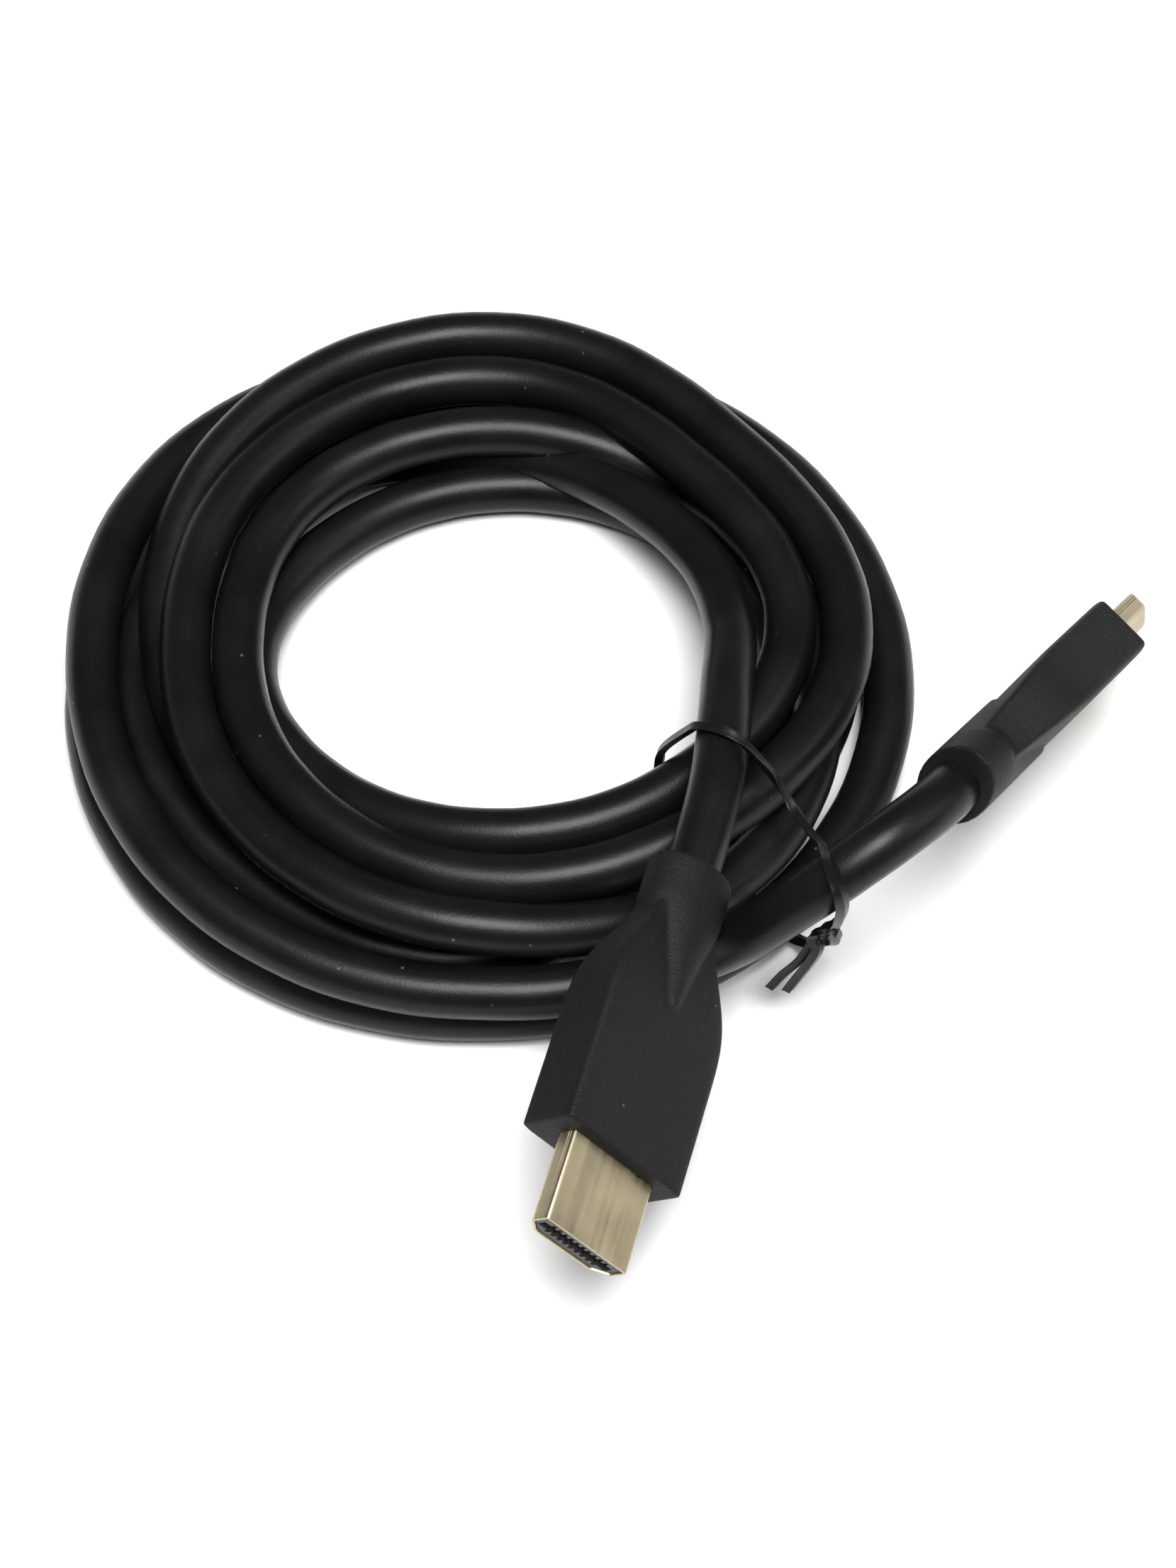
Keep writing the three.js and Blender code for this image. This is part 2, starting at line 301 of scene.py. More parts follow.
@dataclass(frozen=True)
class SkinFinish:
    """Black plastic: a clouded colour and gloss, a grain and a little dust."""

    name: str
    dark: Point
    light: Point
    rough: tuple[float, float]
    cloud_scale: float
    fine_scale: float
    broad_scale: float
    broad_share: float
    depth: float
    dust_scale: float = 700.0
    dust_amount: float = 0.03
    specular: float = 0.5

    def material(self, effects: Effects) -> bpy.types.Material:
        """Builds the finish.

        Args:
            effects: The shared node groups.

        Returns:
            The material.
        """
        material, graph, shader, place = start_material(self.name)
        clouds = {
            "Vector": place,
            "Scale": self.cloud_scale,
            "Dark": (*self.dark, 1.0),
            "Light": (*self.light, 1.0),
            "Rough Low": self.rough[0],
            "Rough High": self.rough[1],
        }
        cloud = graph.add("Group", clouds, node_tree=effects.clouding)
        specks = {
            "Vector": place,
            "Color": cloud.outputs["Color"],
            "Scale": self.dust_scale,
            "Amount": self.dust_amount,
        }
        dust = graph.add("Group", specks, node_tree=effects.dust)
        grains = {
            "Vector": place,
            "Fine Scale": self.fine_scale,
            "Broad Scale": self.broad_scale,
            "Broad Share": self.broad_share,
        }
        grain = graph.add("Group", grains, node_tree=effects.grain)
        relief = {"Height": grain.outputs["Height"], "Distance": self.depth, "Strength": 1.0}
        links = {
            "Base Color": dust.outputs["Color"],
            "Roughness": cloud.outputs["Roughness"],
            "Normal": graph.add("Bump", relief).outputs["Normal"],
        }
        wire(graph, shader, links)
        shader.inputs["Specular IOR Level"].default_value = self.specular
        return material


@dataclass(frozen=True)
class PlateFinish:
    """Plated metal: fine rolling marks along the piece, small stains and a clouded gloss."""

    name: str
    color: Point
    stain: Point
    rough: tuple[float, float]
    streak_scale: float = 900.0
    streak_stretch: float = 0.04
    streak_range: tuple[float, float] = (0.2, 2.6)
    cloud_scale: float = 160.0
    spot_scale: float = 520.0
    spot_amount: float = 0.02
    depth: float = 0.000004

    def material(self, effects: Effects, turn: Matrix) -> bpy.types.Material:
        """Builds the finish for a piece that lies turned in the frame.

        Args:
            effects: The shared node groups.
            turn: The rotation from the frame to the piece, whose z is the way the marks run.

        Returns:
            The material.
        """
        material, graph, shader, place = start_material(self.name)
        mapping = {"Vector": place, "Rotation": turn.to_euler("XYZ")}
        turned = graph.add("Mapping", mapping).outputs["Vector"]
        stretch = {"0": turned, "1": (1.0, 1.0, self.streak_stretch)}
        stretched = graph.add("VectorMath", stretch, operation="MULTIPLY").outputs["Vector"]
        streaks = {"Vector": stretched, "Scale": self.streak_scale, "Detail": 3.0}
        streak = graph.add("TexNoise", streaks).outputs["Fac"]
        clouds = {
            "Vector": turned,
            "Scale": self.cloud_scale,
            "Dark": (*self.stain, 1.0),
            "Light": (*self.color, 1.0),
            "Rough Low": self.rough[0],
            "Rough High": self.rough[1],
        }
        cloud = graph.add("Group", clouds, node_tree=effects.clouding)
        stains = {
            "Vector": turned,
            "Color": cloud.outputs["Color"],
            "Scale": self.spot_scale,
            "Amount": self.spot_amount,
        }
        spots = graph.add("Group", stains, node_tree=effects.dust)
        rough = {"0": cloud.outputs["Roughness"], "1": graph.ramp(streak, *self.streak_range)}
        relief = {"Height": streak, "Distance": self.depth, "Strength": 1.0}
        links = {
            "Base Color": spots.outputs["Color"],
            "Roughness": graph.add("Math", rough, operation="ADD").outputs[0],
            "Normal": graph.add("Bump", relief).outputs["Normal"],
        }
        wire(graph, shader, links)
        shader.inputs["Metallic"].default_value = 1.0
        return material


JACKET = SkinFinish(
    "pvc_jacket",
    dark=(0.003, 0.0031, 0.0036),
    light=(0.0055, 0.0057, 0.0065),
    rough=(0.32, 0.4),
    cloud_scale=90.0,
    fine_scale=2600.0,
    broad_scale=260.0,
    broad_share=0.45,
    depth=0.00004,
    dust_scale=620.0,
    dust_amount=0.015,
    specular=0.2,
)
MOULDING = SkinFinish(
    "spark_grain_moulding",
    dark=(0.0028, 0.0029, 0.0034),
    light=(0.005, 0.0051, 0.0058),
    rough=(0.56, 0.68),
    cloud_scale=120.0,
    fine_scale=3200.0,
    broad_scale=1200.0,
    broad_share=0.35,
    depth=0.00016,
    dust_amount=0.012,
    specular=0.24,
)
INSULATOR = SkinFinish(
    "contact_block",
    dark=(0.022, 0.021, 0.024),
    light=(0.032, 0.031, 0.034),
    rough=(0.4, 0.5),
    cloud_scale=300.0,
    fine_scale=3000.0,
    broad_scale=900.0,
    broad_share=0.3,
    depth=0.00002,
)
TIE_COAT = SkinFinish(
    "tie_coat",
    dark=(0.003, 0.003, 0.0035),
    light=(0.006, 0.006, 0.0067),
    rough=(0.34, 0.44),
    cloud_scale=260.0,
    fine_scale=2400.0,
    broad_scale=800.0,
    broad_share=0.5,
    depth=0.00006,
    specular=0.26,
)
PLATING = PlateFinish(
    "champagne_plating", color=(0.52, 0.45, 0.3), stain=(0.42, 0.35, 0.23), rough=(0.24, 0.34)
)
GILDING = PlateFinish("gilt_contact", color=(0.85, 0.62, 0.28), stain=(0.7, 0.48, 0.2), rough=(0.15, 0.25))


def loft(outline: list[tuple[float, float]], frames: list[Matrix]) -> bmesh.types.BMesh:
    """Sweeps an outline through a row of frames.

    Args:
        outline: The outline's corners in the frames' x and y.
        frames: Where the outline stands, one after the other.

    Returns:
        A closed bmesh.
    """
    shape = bmesh.new()
    first = frames[0]
    corners = [bmesh.ops.create_vert(shape, co=first @ Vector((x, y, 0.0)))["vert"][0] for x, y in outline]
    ring = [shape.edges.new(pair) for pair in zip(corners, [*corners[1:], corners[0]])]
    bmesh.ops.contextual_create(shape, geom=ring)
    for before, after in zip(frames, frames[1:]):
        grown = bmesh.ops.extrude_edge_only(shape, edges=ring)["geom"]
        corners = [v for v in grown if isinstance(v, bmesh.types.BMVert)]
        ring = [e for e in grown if isinstance(e, bmesh.types.BMEdge)]
        bmesh.ops.transform(shape, matrix=after @ before.inverted(), verts=corners)
    bmesh.ops.contextual_create(shape, geom=ring)
    bmesh.ops.recalc_face_normals(shape, faces=shape.faces)
    return shape


def circle(sides: int) -> list[tuple[float, float]]:
    """Lists the corners of a circle of radius one."""
    turns = [2 * math.pi * i / sides for i in range(sides)]
    return [(math.cos(turn), math.sin(turn)) for turn in turns]


def link_mesh(name: str, shape: bmesh.types.BMesh, material: bpy.types.Material) -> bpy.types.Object:
    """Turns a bmesh into an object of the scene.

    Args:
        name: The piece's name.
        shape: The bmesh, in metres in the row frame. It is freed.
        material: The piece's finish.

    Returns:
        The new object.
    """
    mesh = bpy.data.meshes.new(name)
    shape.to_mesh(mesh)
    shape.free()
    mesh.materials.append(material)
    piece = bpy.data.objects.new(name, mesh)
    bpy.context.scene.collection.objects.link(piece)
    return piece


def shade_smooth(piece: bpy.types.Object, angle: float) -> None:
    """Shades a piece smooth, with edges sharper than the angle in degrees left crisp."""
    for polygon in piece.data.polygons:
        polygon.use_smooth = True
    shape = bmesh.new()
    shape.from_mesh(piece.data)
    for edge in shape.edges:
        edge.smooth = not edge.is_manifold or edge.calc_face_angle(0.0) < math.radians(angle)
    shape.to_mesh(piece.data)
    shape.free()


def apply_modifiers(piece: bpy.types.Object) -> None:
    """Puts the result of a piece's modifiers into its mesh."""
    graph = bpy.context.evaluated_depsgraph_get()
    done = bpy.data.meshes.new_from_object(piece.evaluated_get(graph))
    piece.modifiers.clear()
    piece.data = done


def mount_piece(piece: bpy.types.Object, slot: Slot, *nodes: str) -> bpy.types.Object:
    """Lets a piece stand for CAD nodes and ride on the part.

    Args:
        piece: The new piece.
        slot: The material slot; not used.
        nodes: The CAD nodes that the piece replaces.

    Returns:
        The piece.
    """
    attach(piece, "root")
    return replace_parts(piece, *nodes)


@dataclass
class Coil:
    """The place and the turns of the coil.

    Each turn is given at eight places, 45 degrees apart and anticlockwise from the right-hand side, as the
    distance from the coil's middle and the height of the cable's middle. They were chosen so that
    the strands cross as in the photograph.
    """

    middle: Vector
    diameter: float = 7.0
    radius: float = 43.5
    steps: int = 3
    turns: tuple[tuple[tuple[float, float], ...], ...] = (
        (
            (32.0, 16.0), (31.5, 10.6), (36.4, 5.2), (43.0, 3.6),
            (48.9, 4.3), (45.2, 3.6), (44.0, 3.6), (34.8, 3.6),
        ),
        (
            (39.8, 3.6), (35.2, 3.6), (31.8, 3.6), (31.0, 4.2),
            (32.3, 6.5), (30.6, 10.0), (32.0, 14.0), (35.6, 15.2),
        ),
        (
            (40.5, 15.2), (39.0, 13.9), (45.4, 11.0), (43.8, 11.8),
            (40.7, 12.6), (42.6, 14.0), (46.5, 15.5), (48.3, 9.8),
        ),
        (
            (44.0, 8.9), (40.0, 7.3), (36.1, 11.2), (35.6, 11.5),
            (33.6, 12.8), (35.6, 14.2), (39.3, 15.0), (43.2, 16.3),
        ),
        (
            (48.2, 14.2), (46.8, 12.8), (54.2, 10.2), (50.6, 10.6),
            (43.8, 7.2), (38.9, 7.2), (39.2, 8.0), (41.6, 4.9),
        ),
        (
            (47.3, 3.6), (46.6, 3.6), (44.6, 3.6), (50.0, 3.6),
            (54.2, 3.6), (54.2, 3.6), (52.6, 3.6), (53.5, 3.6),
        ),
        (
            (54.5, 3.6), (53.8, 3.6), (53.4, 3.6), (56.6, 5.2),
            (53.6, 10.2), (53.1, 10.1), (52.9, 10.0),
        ),
    )

    def by_coil(self, around: float, outside: float, above: float) -> Vector:
        """Places a point by the coil, as the part's source does.

        Args:
            around: Degrees around the coil.
            outside: How far outside the coil's radius, in cable diameters.
            above: How high above the floor, in cable diameters.

        Returns:
            The point in the row frame, in metres.
        """
        return self.polar(around, self.radius + outside * self.diameter, above * self.diameter)

    def polar(self, around: float, reach: float, height: float) -> Vector:
        """Places a point by degrees around the coil, distance from its middle and height, all in mm."""
        angle = math.radians(around)
        return self.middle + Vector((reach * math.cos(angle), reach * math.sin(angle), height)) * MM

    def line(self) -> list[Vector]:
        """Works out the middle line of all the turns.

        Returns:
            The points of the turns in the row frame, in metres.
        """
        stations = [Vector((reach, height, 0.0)) for turn in self.turns for reach, height in turn]
        smooth = thread(stations, self.steps)
        return [self.polar(45.0 * i / self.steps, p.x, p.y) for i, p in enumerate(smooth)]


@dataclass
class PlugPlace:
    """Where a plug lies: the middle of the collar's end, the plug's axis and the way its wide face looks."""

    end: End
    collar: Vector
    axis: Vector
    face: Vector

    def matrix(self) -> Matrix:
        """Turns and moves a plug drawn along z, in metres, to its place."""
        z = self.axis.normalized()
        y = (self.face - self.face.dot(z) * z).normalized()
        turn = Matrix((y.cross(z), y, z)).transposed().to_4x4()
        return Matrix.Translation(self.collar) @ turn

    def along(self, distance: float) -> Vector:
        """Finds a point on the plug's axis, that many millimetres past the collar's end."""
        return self.collar + self.axis.normalized() * distance * MM


@dataclass
class Cable:
    """The whole cable: the near lead, the coil and the far lead as one curve."""

    coil: Coil
    places: dict[End, PlugPlace]
    straight: float = 4.5
    into_collar: float = 1.0
    near_route: tuple[Point, ...] = (
        (-3.5, -1.6, 2.43),
        (-12.4, -1.51, 2.71),
        (-22.6, -1.33, 3.03),
        (-34.2, -0.88, 3.36),
        (-46.3, -0.09, 3.55),
    )
    far_rise: tuple[Point, ...] = ((-75.5, 1.48, 1.46), (-66.8, 1.6, 1.59))
    far_route: tuple[Point, ...] = (
        (-60.5, 1.88, 1.97),
        (-55.8, 2.36, 2.87),
        (-52.2, 2.68, 3.63),
        (-48.6, 2.96, 4.2),
        (-44.7, 3.17, 4.56),
        (-40.3, 3.35, 4.72),
    )

    def lead(self, route: tuple[Point, ...], place: PlugPlace) -> list[Vector]:
        """Works out a free stretch from the coil to its collar.

        Args:
            route: The listed points, by the coil.
            place: The plug that the stretch runs into.

        Returns:
            The points of the stretch, the last one inside the collar.
        """
        knots = [self.coil.by_coil(*point) for point in route]
        return [*knots, place.along(-self.straight), place.along(self.into_collar)]

    def line(self) -> list[Vector]:
        """Works out the middle line of the cable from plug to plug."""
        near = self.lead(self.near_route, self.places[End.NEAR])
        far = self.lead(self.far_rise + self.far_route, self.places[End.FAR])
        return [*reversed(near), *self.coil.line()[1:], *far]

    def build(self, effects: Effects, far_plug: list[bpy.types.Object]) -> bpy.types.Object:
        """Args:
            effects: The shared node groups.
            far_plug: The pieces on the cable's far end; not used.

        Returns:
            The curve.
        """
        points = self.line()
        curve = bpy.data.curves.new("cable", "CURVE")
        curve.dimensions = "3D"
        curve.bevel_depth = self.coil.diameter / 2 * MM
        curve.bevel_resolution = 6
        curve.resolution_u = 5
        curve.use_fill_caps = True
        spline = curve.splines.new("BEZIER")
        spline.bezier_points.add(len(points) - 1)
        for knot, point in zip(spline.bezier_points, points):
            knot.co = point
            knot.handle_left_type = knot.handle_right_type = "AUTO"
        curve.materials.append(JACKET.material(effects))
        cable = bpy.data.objects.new("cable", curve)
        bpy.context.scene.collection.objects.link(cable)
        mount_piece(cable, Slot.JACKET, "cable_coil", "cable_lead_near", "cable_lead_far")
        return cable


@dataclass
class Plug:
    """A type A plug: a moulded grip, a metal shell, an insulator and two rows of contacts."""

    place: PlugPlace
    length: float = 40.5
    width: float = 20.0
    thickness: float = 8.8
    shoulder_start: float = 5.0
    shoulder_end: float = 25.0
    shoulder_width: float = 9.5
    shoulder_thickness: float = 5.6
    collar_width: float = 12.0
    collar_length: float = 6.0
    ridge_end: float = 20.5
    ridge_tip: float = 3.4
    ridge_lift: float = 0.35
    shell_width: float = 13.9
    shell_height: float = 4.45
    shell_side: float = 2.7
    shell_inset: float = 2.2
    shell_wall: float = 0.35
    shell_reach: float = 11.5
    shell_seat: float = 3.0
    shell_corner: float = 0.45
    seam_heights: tuple[float, float] = (1.25, 1.6)
    seam_width: float = 0.16
    seam_depth: float = 0.09
    shell_floor: float = 0.2
    rim_round: float = 0.09
    nose_length: float = 1.6
    nose_drop: float = 0.2
    corner_power: float = 0.16
    sides: int = 64
    rings: int = 60
    voxel: float = 0.24
    smoothings: int = 3
    fit_gap: float = 0.1

    def node(self, part: str) -> str:
        """Names a CAD node of this plug, such as shell_near."""
        return f"{part}_{self.place.end.value}"

    def body_section(self, z: float) -> tuple[float, float]:
        """Gives the grip's half width and half thickness at a distance from the collar's end."""
        rise = smooth_step((z - self.shoulder_start) / (self.shoulder_end - self.shoulder_start))
        wide = math.sin(rise * math.pi / 2)
        half_width = self.shoulder_width + (self.width - self.shoulder_width) * wide
        half_thickness = self.shoulder_thickness + (self.thickness - self.shoulder_thickness) * rise
        return half_width / 2, half_thickness / 2

    def ridge_section(self, z: float) -> tuple[float, float]:
        """Gives the half width and half thickness of the collar and its ridge."""
        along = min(1.0, max(0.0, (z - self.collar_length) / (self.ridge_end - self.collar_length)))
        into_nose = max(0.0, (z - self.ridge_end + self.nose_length) / self.nose_length)
        nose = math.sqrt(1 - min(0.98, into_nose) ** 2)
        half_width = (self.collar_width + (self.ridge_tip - self.collar_width) * along) / 2 * nose
        drop = self.nose_drop * (1 - nose)
        return half_width, (self.thickness / 2 + self.ridge_lift) * (1 - drop)

    def grip_block(self) -> bmesh.types.BMesh:
        """Draws the grip's block, whose rounded section grows from the shoulders.

        Returns:
            A closed bmesh, in millimetres along z.
        """
        length = self.length - self.shoulder_start
        steps = [Matrix.Translation((0, 0, i)) for i in range(self.rings + 1)]
        shape = loft(circle(self.sides), steps)
        for vert in shape.verts:
            angle = math.atan2(vert.co.y, vert.co.x)
            z = self.shoulder_start + vert.co.z / self.rings * length
            vert.co = (*self.rounded(angle, *self.body_section(z)), z)
        return shape

    def rounded(self, angle: float, half_width: float, half_thickness: float) -> tuple[float, float]:
        """Finds the place on a rounded rectangle at one turn of its outline.

        Args:
            angle: The turn, in radians from the x axis.
            half_width: Half the rectangle's width.
            half_thickness: Half the rectangle's thickness.

        Returns:
            The place's x and y.
        """
        c, s = math.cos(angle), math.sin(angle)
        x = math.copysign(abs(c) ** self.corner_power, c) * half_width
        y = math.copysign(abs(s) ** self.corner_power, s) * half_thickness
        return x, y

    def ridge_block(self) -> bmesh.types.BMesh:
        """Draws the collar and its ridge, an oval that narrows to a round tip.

        Returns:
            A closed bmesh, in millimetres along z.
        """
        rings = self.rings
        steps = [Matrix.Translation((0, 0, self.ridge_end * i / rings)) for i in range(rings + 1)]
        shape = loft(circle(self.sides), steps)
        for vert in shape.verts:
            half_width, half_thickness = self.ridge_section(vert.co.z)
            vert.co = (vert.co.x * half_width, vert.co.y * half_thickness, vert.co.z)
        return shape

    def shell_outline(self, shape: bmesh.types.BMesh, offset: float, z: float) -> bmesh.types.BMFace:
        """Draws the shell's outline as one face: wide side up, lower corners cut.

        Args:
            shape: The bmesh that gets the face.
            offset: How far inside the shell's outside the outline lies.
            z: Where the face lies along the plug.

        Returns:
            The face, with its corners rounded.
        """
        half_width, half_height = self.shell_width / 2 - offset, self.shell_height / 2 - offset
        cut = math.atan2(self.shell_height - self.shell_side, self.shell_inset)
        cut_top = self.shell_height / 2 - self.shell_side + offset * math.tan((math.pi / 2 - cut) / 2)
        low_width = self.shell_width / 2 - self.shell_inset - offset * math.tan(cut / 2)
        corners = (
            (-half_width, half_height),
            (-half_width, cut_top),
            (-low_width, -half_height),
            (low_width, -half_height),
            (half_width, cut_top),
            (half_width, half_height),
        )
        verts = [bmesh.ops.create_vert(shape, co=(x, y, z))["vert"][0] for x, y in corners]
        face = shape.faces.new(verts)
        bmesh.ops.bevel(
            shape,
            geom=verts,
            offset=max(0.1, self.shell_corner - offset),
            segments=6,
            profile=0.5,
            affect="VERTICES",
            material=-1,
        )
        if face.is_valid:
            return face
        return next(f for f in shape.faces if len(f.verts) > len(corners))

    def build_grip(self, effects: Effects) -> bpy.types.Object:
        """Builds the moulded grip with its collar and ridges, and cuts the shell's pocket.

        Args:
            effects: The shared node groups.

        Returns:
            The grip.
        """
        whole = self.grip_block()
        ridge = bpy.data.meshes.new("ridge")
        block = self.ridge_block()
        block.to_mesh(ridge)
        block.free()
        whole.from_mesh(ridge)
        grip = link_mesh(self.node("grip"), whole, MOULDING.material(effects))
        remesh = grip.modifiers.new("join", "REMESH")
        remesh.mode = "VOXEL"
        remesh.voxel_size = self.voxel
        apply_modifiers(grip)
        shape = bmesh.new()
        shape.from_mesh(grip.data)
        axes = {"use_axis_x": True, "use_axis_y": True, "use_axis_z": True}
        for _ in range(self.smoothings):
            bmesh.ops.smooth_vert(shape, verts=shape.verts, factor=0.5, **axes)
        shape.to_mesh(grip.data)
        shape.free()
        pocket = bmesh.new()
        floor = self.shell_outline(pocket, -self.fit_gap, self.length - self.shell_seat - self.fit_gap)
        self.pull(pocket, floor, 2 * self.shell_seat + 1)
        bmesh.ops.recalc_face_normals(pocket, faces=pocket.faces)
        cutter = link_mesh("pocket", pocket, grip.data.materials[0])
        cut = grip.modifiers.new("pocket", "BOOLEAN")
        cut.operation = "DIFFERENCE"
        cut.object = cutter
        apply_modifiers(grip)
        bpy.data.objects.remove(cutter)
        grip.data.transform(self.place.matrix() @ Matrix.Scale(MM, 4))
        shade_smooth(grip, 40)
        return mount_piece(grip, Slot.MOULDING, self.node("overmould"))

    def pull(self, shape: bmesh.types.BMesh, face: bmesh.types.BMFace, distance: float) -> None:
        """Extrudes a face along the plug.

        Args:
            shape: The bmesh that the face belongs to.
            face: The face.
            distance: How far it is pulled towards the tip, or pushed back where it is negative.
        """
        grown = bmesh.ops.extrude_face_region(shape, geom=[face])["geom"]
        moved = [v for v in grown if isinstance(v, bmesh.types.BMVert)]
        bmesh.ops.translate(shape, verts=moved, vec=(0, 0, distance))

    def press_seam(self, shape: bmesh.types.BMesh, height: float) -> None:
        """Presses a fine groove along one narrow side of the shell, where its sheet is folded.

        Args:
            shape: The shell, in millimetres along z.
            height: How far the groove lies from the plug's axis.
        """
        for level in (height - self.seam_width / 2, height, height + self.seam_width / 2):
            whole = [*shape.verts, *shape.edges, *shape.faces]
            across = {"plane_co": (0, level, 0), "plane_no": (0, 1, 0)}
            bmesh.ops.bisect_plane(shape, geom=whole, dist=1e-5, **across)
        side = 0.001 - self.shell_width / 2
        bottom = [v for v in shape.verts if abs(v.co.y - height) < 1e-4 and v.co.x < side]
        bmesh.ops.translate(shape, verts=bottom, vec=(self.seam_depth, 0, 0))

    def round_rim(self, shape: bmesh.types.BMesh, tip: float) -> None:
        """Rounds the shell's outer and inner edges at its tip.

        Args:
            shape: The shell, in millimetres along z.
            tip: Where the tip lies along the plug.
        """
        rim = [e for e in shape.edges if all(abs(v.co.z - tip) < 1e-5 for v in e.verts)]
        turns = [{f.normal.to_tuple(1) for f in e.link_faces} for e in rim]
        corners = [e for e, turn in zip(rim, turns) if len(turn) > 1 and len(e.link_faces) == 2]
        bmesh.ops.bevel(
            shape,
            geom=corners,
            offset=self.rim_round,
            segments=2,
            profile=0.5,
            affect="EDGES",
            material=-1,
            clamp_overlap=True,
        )

    def build_shell(self, effects: Effects) -> bpy.types.Object:
        """Builds the metal shell with its open mouth and rounded rim.

        Args:
            effects: The shared node groups.

        Returns:
            The shell.
        """
        shape = bmesh.new()
        tip = self.length + self.shell_reach
        back = self.length - self.shell_seat
        self.pull(shape, self.shell_outline(shape, 0.0, tip), back - tip)
        front = max(shape.faces, key=lambda f: (len(f.verts) > 8, f.calc_center_median().z))
        bmesh.ops.inset_region(shape, faces=[front], thickness=self.shell_wall, use_even_offset=True)
        self.pull(shape, front, back - tip + self.shell_floor)
        if front.is_valid:
            bmesh.ops.delete(shape, geom=[front], context="FACES_ONLY")
        self.round_rim(shape, tip)
        for height in self.seam_heights:
            self.press_seam(shape, height)
        bmesh.ops.recalc_face_normals(shape, faces=shape.faces)
        matrix = self.place.matrix()
        plating = PLATING.material(effects, matrix.to_3x3().inverted())
        shell = link_mesh(self.node("mouth_shell"), shape, plating)
        shell.data.transform(matrix @ Matrix.Scale(MM, 4))
        shade_smooth(shell, 30)
        return mount_piece(shell, Slot.PLATING, self.node("shell"))

    def dress_inside(self, effects: Effects, nodes: dict[str, bpy.types.Object]) -> list[bpy.types.Object]:
        """Gives the CAD insulator and contacts their finishes.

        Args:
            effects: The shared node groups.
            nodes: The CAD nodes by name.

        Returns:
            The dressed nodes.
        """
        block = nodes[self.node("insulator")]
        block.data.materials.clear()
        block.data.materials.append(INSULATOR.material(effects))
        gilt = GILDING.material(effects, self.place.matrix().to_3x3().inverted())
        prefix = self.node("contact") + "_"
        blades = [piece for name, piece in sorted(nodes.items()) if name.startswith(prefix)]
        for blade in blades:
            blade.data.materials.clear()
            blade.data.materials.append(gilt)
        return [block, *blades]

    def build(self, effects: Effects, nodes: dict[str, bpy.types.Object]) -> list[bpy.types.Object]:
        """Builds the whole plug.

        Args:
            effects: The shared node groups.
            nodes: The CAD nodes by name.

        Returns:
            The plug's pieces.
        """
        pieces = [self.build_grip(effects), self.build_shell(effects), *self.dress_inside(effects, nodes)]
        LOG.info("%s plug: %d pieces", self.place.end.value, len(pieces))
        return pieces


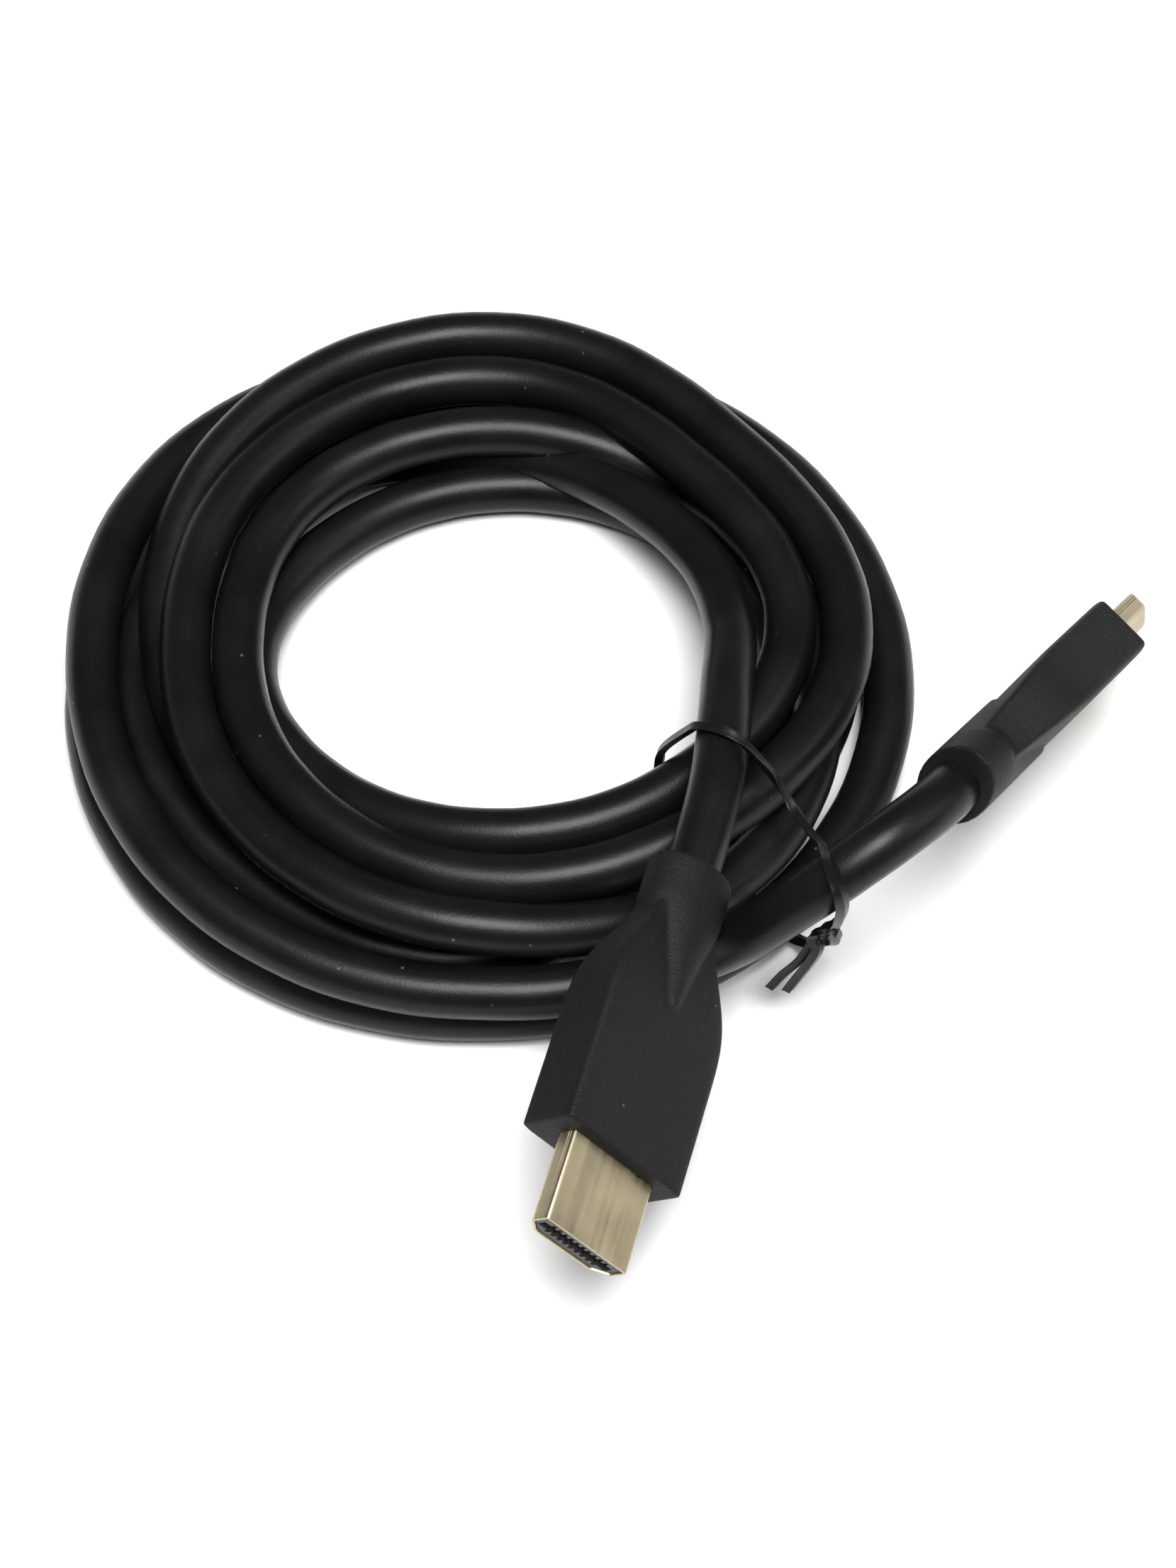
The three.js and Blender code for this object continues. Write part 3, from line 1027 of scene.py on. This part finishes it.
@dataclass
class TwistTie:
    """A coated wire ribbon around the coil and both leads, twisted once outside, with two loose tails.

    Its places were chosen around the coil's middle, in millimetres.
    """

    coil: Coil
    width: float = 1.9
    web: float = 0.36
    core: float = 0.42
    spread: float = 0.55
    steps: int = 6
    heart: Point = (37.0, -36.0, 14.0)
    loop: tuple[Point, ...] = (
        (43.6, -49.9, 21.2),
        (44.6, -48.6, 16.0),
        (43.9, -45.0, 9.0),
        (41.9, -41.9, 3.2),
        (38.8, -38.3, 0.7),
        (31.0, -29.6, 0.6),
        (25.0, -22.8, 0.9),
        (22.9, -19.6, 4.6),
        (22.8, -19.3, 11.0),
        (23.3, -20.0, 16.0),
        (26.1, -22.2, 23.5),
        (27.8, -23.6, 26.9),
        (31.6, -26.0, 28.6),
        (34.9, -27.9, 26.0),
        (37.8, -29.8, 22.5),
        (40.2, -33.8, 21.2),
        (41.8, -40.6, 27.0),
        (42.3, -45.1, 31.9),
        (42.7, -48.8, 34.4),
        (43.5, -52.2, 34.6),
        (44.1, -53.0, 32.0),
        (44.1, -52.2, 27.5),
        (44.0, -50.6, 23.4),
    )
    knot: tuple[Point, ...] = ((44.2, -49.9, 22.2), (43.2, -49.8, 20.6), (42.0, -49.9, 18.9))
    tails: tuple[tuple[Point, ...], ...] = (
        ((41.6, -49.7, 17.4), (40.2, -50.1, 13.6), (38.3, -50.2, 10.2), (36.7, -50.8, 7.6)),
        ((42.1, -50.6, 17.2), (41.2, -51.0, 14.4), (40.0, -51.2, 11.2), (38.8, -51.6, 8.4)),
    )

    def outline(self) -> list[tuple[float, float]]:
        """Draws the ribbon's section: a thin web that is fuller over the wire in its middle."""
        corners = []
        for x, y in circle(20):
            core = math.exp(-((x * self.width / 2 / self.core) ** 2))
            corners.append((x * self.width / 2 * MM, y * (self.web / 2 + self.core * core) * MM))
        return corners

    def frames(self, path: list[Vector], twists: list[float]) -> list[Matrix]:
        """Stands the ribbon's section along a path, flat towards the bundle.

        Args:
            path: The places that the ribbon passes, in metres.
            twists: How far the ribbon is turned about itself at each place, in radians.

        Returns:
            One frame for each place.
        """
        heart = self.coil.middle + Vector(self.heart) * MM
        frames = []
        for i, (point, twist) in enumerate(zip(path, twists)):
            along = (path[min(i + 1, len(path) - 1)] - path[max(i - 1, 0)]).normalized()
            outward = point - heart
            outward = (outward - outward.dot(along) * along).normalized()
            across = outward.cross(along)
            turn = Matrix((across, outward, along)).transposed().to_4x4()
            frames.append(Matrix.Translation(point) @ turn @ Matrix.Rotation(twist, 4, "Z"))
        return frames

    def placed(self, points: tuple[Point, ...]) -> list[Vector]:
        """Moves the given places to the row frame and runs a smooth line through them."""
        return thread([self.coil.middle + Vector(point) * MM for point in points], self.steps)

    def strand(self, side: float, tail: tuple[Point, ...]) -> bmesh.types.BMesh:
        """Builds one end of the ribbon: its part of the twist and its tail.

        Args:
            side: Half a turn or none, which keeps the two ends on opposite sides of the twist.
            tail: The places of the tail.

        Returns:
            A closed bmesh.
        """
        path = self.placed((*self.knot, *tail))
        wound = 2 * self.steps
        twists = []
        for i, point in enumerate(path):
            turn = side + 2 * math.pi * min(1.0, i / wound)
            apart = self.spread * MM * (1 - smooth_step((i - wound) / self.steps))
            path[i] = point + Vector((math.cos(turn), 0.3 * math.sin(turn), math.sin(turn))) * apart
            twists.append(turn)
        return loft(self.outline(), self.frames(path, twists))

    def build(self, effects: Effects) -> bpy.types.Object:
        """Builds the tie.

        Args:
            effects: The shared node groups.

        Returns:
            The tie.
        """
        path = self.placed(self.loop)
        shape = loft(self.outline(), self.frames(path, [0.0] * len(path)))
        for side, tail in zip((0.0, math.pi), self.tails):
            end = self.strand(side, tail)
            mesh = bpy.data.meshes.new("tie_end")
            end.to_mesh(mesh)
            end.free()
            shape.from_mesh(mesh)
            bpy.data.meshes.remove(mesh)
        tie = link_mesh("tie_ribbon", shape, TIE_COAT.material(effects))
        shade_smooth(tie, 50)
        LOG.info("twist tie: a loop, a twist and two tails")
        return mount_piece(tie, Slot.TIE_COAT, "twist_tie")


@dataclass
class Studio:
    """The camera at the photograph's angle, the pale floor and the soft lights."""

    middle: Vector
    eye: Point = (13.42, -244.24, 366.0)
    elevation: float = 58.0
    focal_pixels: float = 4500.0
    frame_height: float = 2212.0
    sensor: float = 36.0
    floor_side: float = 3.0
    room_color: tuple[float, float, float, float] = (0.97, 0.98, 1.0, 1.0)
    room_strength: float = 0.11

    def camera(self) -> None:
        """Sets up the camera."""
        data = bpy.data.cameras.new("camera")
        data.sensor_fit = "VERTICAL"
        data.sensor_height = self.sensor
        data.lens = self.sensor * self.focal_pixels / self.frame_height
        data.clip_start = 0.01
        eye = bpy.data.objects.new("camera", data)
        eye.location = self.middle + Vector(self.eye) * MM
        eye.rotation_euler = (math.radians(90.0 - self.elevation), 0.0, 0.0)
        bpy.context.scene.collection.objects.link(eye)
        bpy.context.scene.camera = eye

    def floor(self) -> None:
        """Lays the plain pale floor."""
        material, _graph, shader, _place = start_material("pale_floor")
        shader.inputs["Base Color"].default_value = (0.86, 0.86, 0.86, 1.0)
        shader.inputs["Roughness"].default_value = 0.6
        shader.inputs["Specular IOR Level"].default_value = 0.2
        shape = bmesh.new()
        bmesh.ops.create_grid(shape, x_segments=1, y_segments=1, size=self.floor_side / 2)
        link_mesh("floor", shape, material)

    def softbox(self, name: str, place: Point, side: float, watts: float, color: Point) -> None:
        """Hangs a square softbox that looks at the coil's middle.

        Args:
            name: The light's name.
            place: Where it hangs from the coil's middle, in metres.
            side: Its side in metres.
            watts: Its power.
            color: Its colour.
        """
        data = bpy.data.lights.new(name, "AREA")
        data.shape = "SQUARE"
        data.size = side
        data.energy = watts
        data.color = color
        light = bpy.data.objects.new(name, data)
        light.location = self.middle + Vector(place)
        light.rotation_euler = (-Vector(place)).to_track_quat("-Z", "Y").to_euler()
        bpy.context.scene.collection.objects.link(light)

    def lights(self) -> None:
        """Hangs the softboxes and lights the room evenly."""
        world = bpy.data.worlds.new("room")
        world.use_nodes = True
        background = world.node_tree.nodes["Background"]
        background.inputs["Color"].default_value = self.room_color
        background.inputs["Strength"].default_value = self.room_strength
        bpy.context.scene.world = world
        self.softbox("top_box", (0.08, -0.3, 1.15), 0.6, 25.0, (0.99, 1.0, 0.99))
        self.softbox("left_box", (-1.1, 0.1, 0.75), 0.7, 0.3, (1.0, 0.99, 1.0))
        self.softbox("right_box", (1.1, -0.1, 0.75), 0.7, 3.0, (1.0, 0.98, 0.98))
        bpy.context.scene.view_settings.view_transform = "Standard"

    def build(self) -> None:
        """Sets up the camera, the floor and the lights."""
        self.camera()
        self.floor()
        self.lights()
        LOG.info("studio: camera, floor and three softboxes")


def coil_middle() -> Vector:
    """Finds the middle of the coil on the floor, from the CAD coil's box."""
    low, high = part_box("cable_coil")
    return Vector(((low.x + high.x) / 2, (low.y + high.y) / 2, 0.0))


def main() -> None:
    """Builds the cable, its plugs, the tie and the studio, and logs a line for each plug, the tie and the
    studio.
    """
    logging.basicConfig(level=logging.INFO, format="%(message)s")
    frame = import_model()
    nodes = frame["nodes"]
    coil = Coil(coil_middle())
    places = {
        End.NEAR: PlugPlace(
            End.NEAR,
            coil.by_coil(-59.66, 1.168, 3.571),
            Vector((-0.274, -0.962, 0.008)),
            Vector((0.717, -0.134, 0.684)),
        ),
        End.FAR: PlugPlace(
            End.FAR,
            coil.by_coil(-30.34, 3.543, 4.257),
            Vector((0.501, 0.744, -0.441)),
            Vector((-0.697, 0.65, 0.304)),
        ),
    }
    Studio(coil.middle).build()
    effects = Effects()
    plugs = {end: Plug(place).build(effects, nodes) for end, place in places.items()}
    Cable(coil, places).build(effects, plugs[End.FAR])
    TwistTie(coil).build(effects)


if __name__ == "__main__":
    main()
